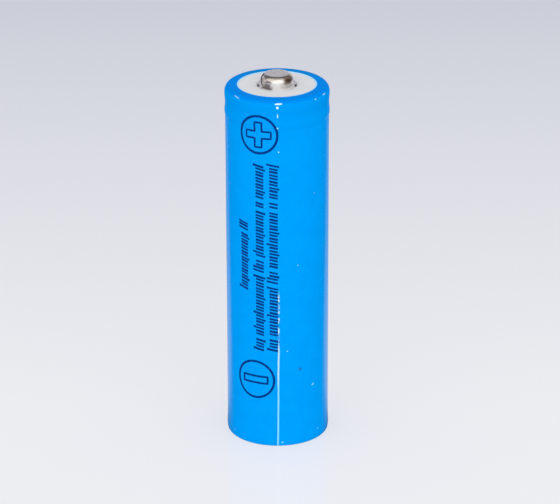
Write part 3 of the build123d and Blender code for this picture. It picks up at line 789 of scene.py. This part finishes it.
# ------------------------------------------ top insulator ring
# A flat washer of white card, laid on the button's flange and held down by the sleeve's lip.
# Its punched inner edge is slightly crushed, and the card is faintly fibrous.
ring_in, ring_out, ring_low, ring_top = 3.68, 8.51, 67.61, 67.81
crush, cut_edge, sag, waviness = 0.10, 0.04, 0.004, 0.006
flat_in, flat_out = ring_in + crush, ring_out - cut_edge
sides = 160
section = [(ring_out, ring_low), (ring_out, ring_top - cut_edge)]
section += [(flat_in + k * (flat_out - flat_in) / 14, ring_top) for k in range(14, -1, -1)]
section += [(ring_in + 0.03, ring_top - 0.02), (ring_in, ring_top - 0.07), (ring_in, ring_low)]
verts = []
for r, z in section:
    for x, y, height in circle(r, z, sides):
        if z > ring_low:
            rise = waviness * sin(2 * atan2(y, x) + 0.4) * (r - ring_in) / ring_out
            height += (rise - sag) / 1000
        verts.append((x, y, height))
washer = piece("white_washer", verts, closed_rings(len(section), sides), smooth=True)
material, tree, bsdf = shader("white_card")
fibre, cloud = grain(tree, 1500, 6, roughness=0.7), grain(tree, 260, 2)
card = mixed(mapped(fibre, 0.3, 0.75), (0.76, 0.77, 0.81), (0.72, 0.73, 0.775))
card = mixed(mapped(cloud, 0.4, 0.75), card, (0.72, 0.73, 0.76))
surface(bsdf, card, 0.62)
bsdf.inputs["Specular IOR Level"].default_value = 0.3
bumped(bsdf, fibre, 0.25, 0.00003)
washer.data.materials.append(material)
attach(washer, "cell")
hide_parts("top_insulator_ring")

# -------------------------------------- negative contact plate
# A round plate of nickel-plated steel under the board, pressed out so that its face stands
# level with the sleeve's foot. Springs of chargers have scuffed the face in arcs.
face_r, plate_r, pressed, back_z = 6.70, 8.70, 0.09, 0.34
section = [(0.0, 0.0), (1.2, 0.0), (3.4, 0.0), (5.6, 0.0), (face_r, 0.0)]
section += [(face_r + 0.10, 0.01), (face_r + 0.16, 0.04), (face_r + 0.18, pressed)]
section += [(plate_r - 0.06, pressed), (plate_r - 0.01, pressed + 0.02), (plate_r, pressed + 0.06)]
section += [(plate_r, back_z - 0.05), (plate_r - 0.02, back_z - 0.01), (plate_r - 0.06, back_z)]
section += [(4.0, back_z), (0.0, back_z)]
sides = 144
verts, faces, starts = [], [], []
for r, z in section:
    starts.append(len(verts))
    verts += circle(r, z, sides if r else 1)
for k in range(len(section) - 1):
    low, high = starts[k], starts[k + 1]
    for j in range(sides):
        i = (j + 1) % sides
        if not section[k][0]:
            faces.append((low, high + i, high + j))
        elif not section[k + 1][0]:
            faces.append((low + j, low + i, high))
        else:
            faces.append((low + j, low + i, high + i, high + j))
plate = piece("contact_plate", verts, faces, smooth=True)
plate.data.set_sharp_from_angle(angle=radians(50))


def ringed(tree, scale, detail=3):
    """Noise drawn out into arcs round the Z axis, as on a turned, pressed or spun face."""
    axes = coordinates(tree)
    out = length(axes["X"], axes["Y"])
    turn = times(math("ARCTAN2", axes["Y"], axes["X"]), 0.0005)
    polar = add(tree, "ShaderNodeCombineXYZ", X=out, Y=turn, Z=axes["Z"]).outputs[0]
    return add(tree, "ShaderNodeTexNoise", Vector=polar, Scale=scale, Detail=detail).outputs["Fac"]


material, tree, bsdf = shader("scuffed_nickel_plate")
scuffs, haze = ringed(tree, 1800, 3), grain(tree, 300, 4)
nickel = mixed(mapped(haze, 0.35, 0.7), (0.78, 0.76, 0.73), (0.66, 0.64, 0.60))
nickel = mixed(mapped(scuffs, 0.60, 0.72, 0, 0.25), nickel, (0.56, 0.54, 0.51))
surface(bsdf, nickel, mapped(scuffs, 0.35, 0.68, 0.22, 0.30), 1.0)
bumped(bsdf, scuffs, 0.02, 0.00001)
plate.data.materials.append(material)
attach(plate, "cell")
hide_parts("negative_contact_plate")

# ---------------------------------------- bare cell's own film
# Thin teal heat-shrink PVC that the bare cell came in, shrunk tight on the can. Long faint draw
# marks run up it and it is silkier than the outer sleeve.


def dressed(material, *names):
    """Gives these pieces their material."""
    for name in names:
        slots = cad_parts[name].data.materials
        slots.clear()
        slots.append(material)


material, tree, bsdf = shader("teal_shrink_film")
marks, mottle = grain(tree, 1400, 3, (1, 1, 0.05)), grain(tree, 320)
teal = mixed(mapped(mottle, 0.35, 0.65), (0.10, 0.46, 0.39), (0.13, 0.53, 0.45))
teal = mixed(mapped(marks, 0.60, 0.72, 0, 0.5), teal, (0.25, 0.62, 0.55))
surface(bsdf, teal, mapped(marks, 0.3, 0.7, 0.22, 0.36))
bumped(bsdf, marks, 0.15, 0.00003)
dressed(material, "cell_wrap")

# --------------------------------------- fish-paper insulators
# Rings and discs punched from vulcanised fish paper: hard, horn-like sheet of grey cotton
# fibre. The punched edges are paler than the calendered faces.


def lying(tree):
    """1 on faces that look up or down, 0 on upright ones."""
    normal = add(tree, "ShaderNodeNewGeometry").outputs["True Normal"]
    flat = add(tree, "ShaderNodeSeparateXYZ", Vector=normal).outputs["Z"]
    return mapped(math("ABSOLUTE", flat), 0.6, 0.8)


material, tree, bsdf = shader("fish_paper")
fibre, cloud = grain(tree, 1500, 6, (1, 0.25, 1)), grain(tree, 200)
paper = mixed(mapped(fibre, 0.3, 0.7), (0.19, 0.23, 0.27), (0.27, 0.31, 0.35))
paper = mixed(mapped(cloud, 0.5, 0.7, 0, 0.4), paper, (0.33, 0.35, 0.36))
edge = times(math("SUBTRACT", 1, lying(tree)), 0.5)
paper = mixed(edge, paper, (0.42, 0.43, 0.42))
surface(bsdf, paper, mapped(fibre, 0.3, 0.7, 0.55, 0.75))
bumped(bsdf, fibre, 0.3, 0.00003)
dressed(material, "crimp_insulator_ring", "upper_insulator_disc")
dressed(material, "lower_insulator_disc", "can_base_insulator")

# ----------------------------------------------- nickel strips
# Pure nickel strip, slit from a rolled coil: dull grey with rolling lines along its run.
# Resistance welding has left four small burnt dimples near the axis wherever a strip crosses it.
material, tree, bsdf = shader("rolled_nickel_strip")
rolled, dull = grain(tree, 2600, 3, (1, 0.06, 0.06)), grain(tree, 420, 4)
strip = mixed(mapped(dull, 0.35, 0.7), (0.66, 0.64, 0.60), (0.55, 0.53, 0.50))
axes = coordinates(tree)
weld_x, weld_y = 1.1 / 1000, 0.9 / 1000
dimple = 0.0
for x, y in ((weld_x, weld_y), (-weld_x, weld_y), (weld_x, -weld_y), (-weld_x, -weld_y)):
    off = length(math("SUBTRACT", axes["X"], x), math("SUBTRACT", axes["Y"], y))
    dimple = math("MAXIMUM", dimple, mapped(off, 0.00025, 0.00055, 1, 0))
dimple = times(dimple, lying(tree))
strip = mixed(times(dimple, 0.7), strip, (0.22, 0.17, 0.14))
surface(bsdf, strip, mapped(rolled, 0.3, 0.7, 0.28, 0.42), 1.0)
bumped(bsdf, math("SUBTRACT", rolled, times(dimple, 2)), 0.3, 0.00004)
dressed(material, "positive_strip", "negative_tab", "negative_link")

# --------------------------------------- strip insulation tape
# Amber polyimide film over and under the strip: glossy, slightly uneven in its adhesive, with
# paler patches where air was caught.
material, tree, bsdf = shader("amber_polyimide")
glue, air = grain(tree, 260, 4), grain(tree, 900, 2)
amber = mixed(mapped(glue, 0.35, 0.65), (0.50, 0.19, 0.02), (0.64, 0.29, 0.05))
amber = mixed(mapped(air, 0.66, 0.72, 0, 0.8), amber, (0.78, 0.50, 0.18))
surface(bsdf, amber, mapped(air, 0.3, 0.7, 0.10, 0.24))
bumped(bsdf, glue, 0.2, 0.00004)
dressed(material, "strip_insulation_tape")

# ------------------------------------------- can and cap steel
# Deep-drawn steel, nickel-plated before drawing: the can and the rolled pin show lines along
# their length, the pressed cap shows arcs. Dried traces of electrolyte cloud them a little.
material, tree, bsdf = shader("drawn_plated_steel")
lines, cloud = grain(tree, 2200, 4, (1, 1, 0.03)), grain(tree, 160, 5)
steel = mixed(mapped(lines, 0.3, 0.7), (0.53, 0.52, 0.50), (0.64, 0.63, 0.61))
steel = mixed(mapped(cloud, 0.58, 0.72, 0, 0.5), steel, (0.46, 0.42, 0.37))
surface(bsdf, steel, mapped(lines, 0.3, 0.7, 0.24, 0.40), 1.0)
bumped(bsdf, lines, 0.15, 0.00003)
dressed(material, "can", "centre_pin")
material, tree, bsdf = shader("pressed_plated_steel")
arcs, cloud = ringed(tree, 2400, 4), grain(tree, 260, 4)
steel = mixed(mapped(arcs, 0.3, 0.7), (0.54, 0.53, 0.51), (0.65, 0.64, 0.62))
steel = mixed(mapped(cloud, 0.60, 0.74, 0, 0.5), steel, (0.44, 0.40, 0.36))
surface(bsdf, steel, mapped(arcs, 0.3, 0.7, 0.20, 0.36), 1.0)
bumped(bsdf, arcs, 0.15, 0.00003)
dressed(material, "top_cap")

# -------------------------------------- gasket and disc holder
# Moulded polypropylene, dark blue, with a fine spark-eroded skin and faint flow marks round it.
# The crimp has rubbed the gasket shinier along some arcs.
material, tree, bsdf = shader("dark_blue_polypropylene")
skin, flow = grain(tree, 2800, 2), ringed(tree, 700, 2)
blue = mixed(mapped(flow, 0.35, 0.65), (0.04, 0.075, 0.26), (0.06, 0.11, 0.34))
surface(bsdf, blue, mapped(flow, 0.35, 0.65, 0.55, 0.36))
bumped(bsdf, skin, 0.2, 0.00002)
dressed(material, "gasket", "weld_disc_holder")

# ---------------------------------------- current limiter ring
# A ring of carbon-filled polymer between two plated foils. Its edges are matt black with
# grains of carbon, its faces dull metal with a fine bonded weave.
material, tree, bsdf = shader("carbon_polymer_and_foil")
carbon, weave = grain(tree, 3200, 3), grain(tree, 1800, 2, (1, 0.3, 1))
black = mixed(mapped(carbon, 0.45, 0.7), (0.035, 0.035, 0.035), (0.11, 0.11, 0.11))
foil = mixed(mapped(weave, 0.3, 0.7), (0.50, 0.49, 0.46), (0.62, 0.60, 0.57))
face = lying(tree)
surface(bsdf, mixed(face, black, foil), mapped(weave, 0.3, 0.7, 0.38, 0.55), face)
bumped(bsdf, carbon, 0.25, 0.00003)
dressed(material, "current_limiter_ring")

# --------------------------------------- aluminium vent pieces
# The coined vent disc, its snap diaphragm, the weld disc and the tab are soft aluminium. The
# press has left fine arcs on them, and oxide dulls them in soft patches.
material, tree, bsdf = shader("coined_aluminium")
arcs, bloom = ringed(tree, 3000, 4), grain(tree, 360, 4)
metal = mixed(mapped(bloom, 0.35, 0.7), (0.80, 0.81, 0.83), (0.69, 0.70, 0.72))
metal = mixed(mapped(arcs, 0.60, 0.70, 0, 0.5), metal, (0.58, 0.58, 0.60))
surface(bsdf, metal, mapped(arcs, 0.3, 0.7, 0.26, 0.44), 1.0)
bumped(bsdf, arcs, 0.2, 0.00003)
dressed(material, "vent_disc", "vent_diaphragm", "weld_disc", "positive_tab")

# --------------------------------------------- separator films
# Two webs of white microporous polyethylene. Winding has stretched them into faint upright
# wrinkles, and electrolyte has left damp patches, greyer and glossier than the rest.
material, tree, bsdf = shader("microporous_film")
wrinkle, wet = grain(tree, 900, 3, (1, 1, 0.08)), grain(tree, 220, 4)
white = mixed(mapped(wet, 0.4, 0.7), (0.84, 0.85, 0.86), (0.70, 0.72, 0.73))
surface(bsdf, white, mapped(wet, 0.3, 0.7, 0.60, 0.35))
bumped(bsdf, wrinkle, 0.3, 0.00005)
dressed(material, "separator_inner", "separator_outer")

# -------------------------------------------- electrode sheets
# Foils coated on both sides and rolled flat: graphite on copper for the anode, dark oxide on
# aluminium for the cathode. The slit edges, above and below, show streaks of the bare foil.
for name, dark, light, bare in (
    ("anode_sheet", (0.035, 0.032, 0.032), (0.085, 0.080, 0.080), (0.62, 0.30, 0.16)),
    ("cathode_sheet", (0.020, 0.020, 0.024), (0.050, 0.050, 0.058), (0.66, 0.67, 0.69)),
):
    material, tree, bsdf = shader(name.replace("_sheet", "_coating"))
    flakes, rolled = grain(tree, 5200, 2), grain(tree, 1500, 3, (1, 1, 0.04))
    coating = mixed(mapped(flakes, 0.52, 0.70), dark, light)
    coating = mixed(mapped(rolled, 0.60, 0.72, 0, 0.4), coating, light)
    slit = times(lying(tree), mapped(rolled, 0.46, 0.54))
    surface(bsdf, mixed(slit, coating, bare), mapped(flakes, 0.3, 0.7, 0.75, 0.50), times(slit, 0.9))
    bumped(bsdf, flakes, 0.25, 0.00002)
    dressed(material, name)

# ------------------------------------------- roll closing tape
# Green polyester tape that holds the end of the roll: glossy, with a soft mottle in its
# adhesive and fine creases along its length.
material, tree, bsdf = shader("green_polyester_tape")
glue, crease = grain(tree, 300, 4), grain(tree, 1200, 2, (1, 1, 0.05))
green = mixed(mapped(glue, 0.35, 0.65), (0.03, 0.24, 0.09), (0.07, 0.36, 0.15))
surface(bsdf, green, mapped(crease, 0.3, 0.7, 0.14, 0.28))
bumped(bsdf, crease, 0.2, 0.00003)
dressed(material, "roll_closing_tape")

# ------------------------------------------------ board spacer
# A ring of pressed white card that carries the base insulator. It is rougher than the top
# washer, and its cut walls show the card's layers.
material, tree, bsdf = shader("layered_card")
fibre, layers = grain(tree, 1400, 6), grain(tree, 5000, 2, (0.02, 0.02, 1))
card = mixed(mapped(fibre, 0.3, 0.7), (0.76, 0.77, 0.79), (0.66, 0.67, 0.70))
upright = math("SUBTRACT", 1, lying(tree))
card = mixed(times(upright, mapped(layers, 0.5, 0.6, 0, 0.5)), card, (0.50, 0.49, 0.46))
surface(bsdf, card, mapped(fibre, 0.3, 0.7, 0.65, 0.80))
bumped(bsdf, fibre, 0.3, 0.00004)
dressed(material, "board_spacer_ring")

# -------------------------------------------- protection board
# Glass-epoxy laminate under green solder mask, with copper tracks that stand up faintly through
# it and a white printed frame round each moulded chip. The sawn edge shows its glass fibre.
driver_at, switches_at = (-3.80, 1.40), (3.90, 0.60)  # in millimetres from the axis


def outside_box(axes, centre, half):
    """How far a point is outside an upright box, in metres; below 0 inside it."""
    off = []
    for axis, middle, reach in zip("XY", centre, half):
        from_middle = math("SUBTRACT", axes[axis], middle / 1000)
        off.append(math("SUBTRACT", math("ABSOLUTE", from_middle), reach / 1000))
    return math("MAXIMUM", *off)


material, tree, bsdf = shader("masked_laminate")
axes = coordinates(tree)
place = add(tree, "ShaderNodeTexCoord").outputs["Object"]
tracks = add(tree, "ShaderNodeTexBrick", Vector=place, Scale=420, Mortar_Size=0.06)
for name, colour in (("Color1", (0, 0, 0)), ("Color2", (0, 0, 0)), ("Mortar", (1, 1, 1))):
    feed(tracks.inputs[name], colour)
track = tracks.outputs["Color"]
weave = grain(tree, 1600, 3)
mask = mixed(mapped(weave, 0.3, 0.7), (0.008, 0.13, 0.045), (0.014, 0.18, 0.06))
mask = mixed(times(track, 0.6), mask, (0.06, 0.33, 0.12))
for centre, half in ((driver_at, (1.75, 1.90)), (switches_at, (2.50, 3.00))):
    off_frame = math("ABSOLUTE", outside_box(axes, centre, half))
    printed = mapped(off_frame, 0.00006, 0.00010, 1, 0)
    mask = mixed(printed, mask, (0.72, 0.73, 0.70))
fibres = mapped(grain(tree, 3000, 2, (0.1, 0.1, 1)), 0.4, 0.6)
glass = mixed(fibres, (0.42, 0.40, 0.20), (0.60, 0.57, 0.34))
board = mixed(lying(tree), glass, mask)
surface(bsdf, board, mapped(weave, 0.3, 0.7, 0.22, 0.38))
bumped(bsdf, math("ADD", track, times(weave, 0.3)), 0.3, 0.00004)
dressed(material, "protection_board")

# ----------------------------------------------- moulded chips
# The driver and the pair of switches: black epoxy, faintly glittering with its silica filler,
# with a moulded dot at the first lead. The bent leads are tinned copper.
dot_in, dot_r, dot_edge, dot_sink = 0.4, 0.14, 0.20, 1.5
for name, centre, half in (
    ("protection_driver", driver_at, (1.45, 0.80)),
    ("switch_pair", switches_at, (2.20, 1.50)),
):
    material, tree, bsdf = shader(name + "_epoxy")
    axes = coordinates(tree)
    lead = mapped(outside_box(axes, centre, half), 0.00001, 0.00003)
    glitter, solder = grain(tree, 6000, 2), grain(tree, 2400, 3)
    epoxy = mapped(glitter, 0.62, 0.72)
    epoxy = mixed(epoxy, (0.026, 0.026, 0.028), (0.10, 0.10, 0.10))
    tin = mixed(mapped(solder, 0.3, 0.7), (0.62, 0.62, 0.63), (0.74, 0.74, 0.75))
    surface(bsdf, mixed(lead, epoxy, tin), mapped(lead, 0, 1, 0.55, 0.28), lead)
    dot_x, dot_y = ((middle - reach + dot_in) / 1000 for middle, reach in zip(centre, half))
    dx, dy = math("SUBTRACT", axes["X"], dot_x), math("SUBTRACT", axes["Y"], dot_y)
    dot = mapped(length(dx, dy), dot_r / 1000, dot_edge / 1000, -dot_sink, 0)
    bumped(bsdf, math("ADD", glitter, dot), 0.3, 0.00004)
    dressed(material, name)

# ----------------------------------------------- ceramic chips
# Two resistors and a capacitor: fired ceramic blocks with a fine glaze, dipped at both ends in
# tin that has wetted them unevenly.
material, tree, bsdf = shader("glazed_ceramic")
axes = coordinates(tree)
speckle, wetting = grain(tree, 4200, 3), grain(tree, 1500, 2)
ceramic = mixed(mapped(speckle, 0.4, 0.65), (0.34, 0.27, 0.19), (0.46, 0.38, 0.28))
places = ((-3.90, -2.10), (-2.40, -4.00), (3.20, -4.20))  # in millimetres from the axis
bare_half, half_width, creep = 0.00050, 0.0006, 0.0001
crept = times(math("SUBTRACT", wetting, 0.5), creep)
middle = 0.0
for x, y in places:
    along = math("ABSOLUTE", math("SUBTRACT", axes["X"], x / 1000))
    aside = math("ABSOLUTE", math("SUBTRACT", axes["Y"], y / 1000))
    own = math("LESS_THAN", math("ADD", along, crept), bare_half)
    own = times(own, math("LESS_THAN", aside, half_width))
    middle = math("MAXIMUM", middle, own)
chip = mixed(middle, (0.68, 0.68, 0.69), ceramic)
glaze = mapped(speckle, 0.3, 0.7, 0.26, 0.42)
surface(bsdf, chip, glaze, math("SUBTRACT", 1, middle))
bumped(bsdf, speckle, 0.2, 0.00003)
dressed(material, "chip_resistors", "chip_capacitor")
